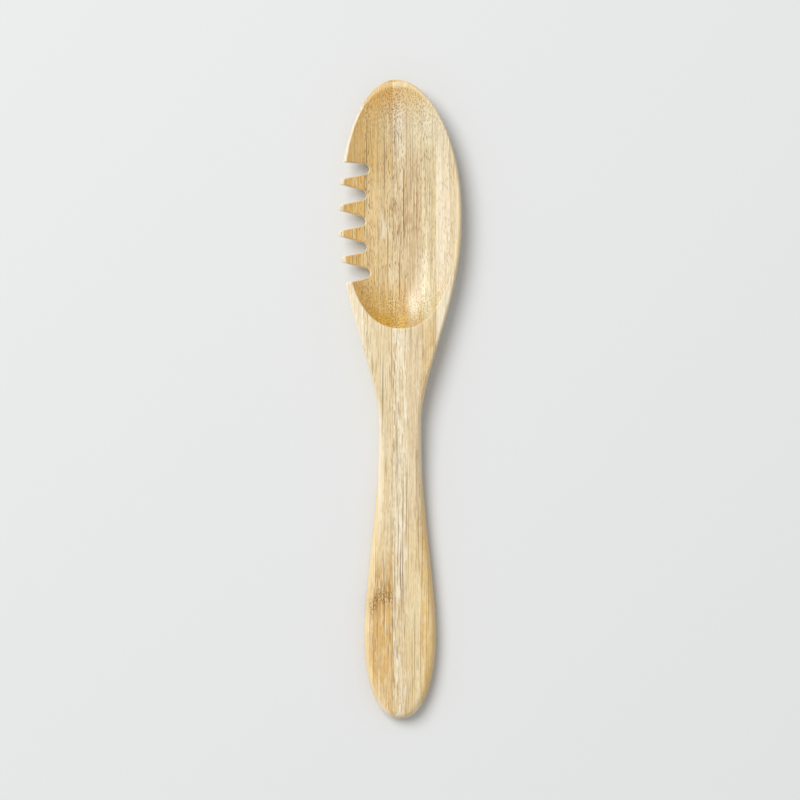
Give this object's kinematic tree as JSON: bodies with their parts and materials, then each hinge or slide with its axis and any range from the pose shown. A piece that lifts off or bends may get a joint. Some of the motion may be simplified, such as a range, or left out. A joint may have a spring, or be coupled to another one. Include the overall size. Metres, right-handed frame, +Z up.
{
  "type": "serving spoon",
  "caption": "Laminated bamboo serving spoon with a dished oval bowl, a comb of teeth along one side of the bowl, a slim neck and a flared, round-edged handle.",
  "frame": {"origin": "under the middle of the spoon, on the surface that its flat underside rests on", "axes": "+Y from the handle to the tip of the bowl, +Z up out of the open bowl, teeth on the -X side"},
  "size_m": [0.0578, 0.2999, 0.013],
  "materials": {
    "bamboo_honey": "oiled satin, honey-toned bamboo",
    "bamboo_tan": "oiled satin, tan bamboo",
    "bamboo_cream": "oiled satin, cream bamboo",
    "bamboo_pale": "oiled satin, pale bamboo"
  },
  "bodies": {
    "root": {"left_rim_strip_upper": "bamboo_honey", "tooth_1_tip": "bamboo_honey", "tooth_2_tip": "bamboo_honey", "tooth_3_tip": "bamboo_honey", "tooth_4_tip": "bamboo_honey", "left_rim_strip_lower": "bamboo_honey", "left_wall_strip_upper": "bamboo_tan", "tooth_1_root": "bamboo_tan", "tooth_2_root": "bamboo_tan", "tooth_3_root": "bamboo_tan", "tooth_4_root": "bamboo_tan", "left_wall_strip_lower": "bamboo_tan", "left_floor_strip": "bamboo_honey", "left_grip_strip": "bamboo_honey", "left_core_strip": "bamboo_tan", "centre_strip": "bamboo_pale", "right_core_strip": "bamboo_cream", "right_floor_strip": "bamboo_cream", "right_grip_strip": "bamboo_cream", "right_wall_strip": "bamboo_pale", "right_rim_strip": "bamboo_pale"}
  },
  "joints": []
}
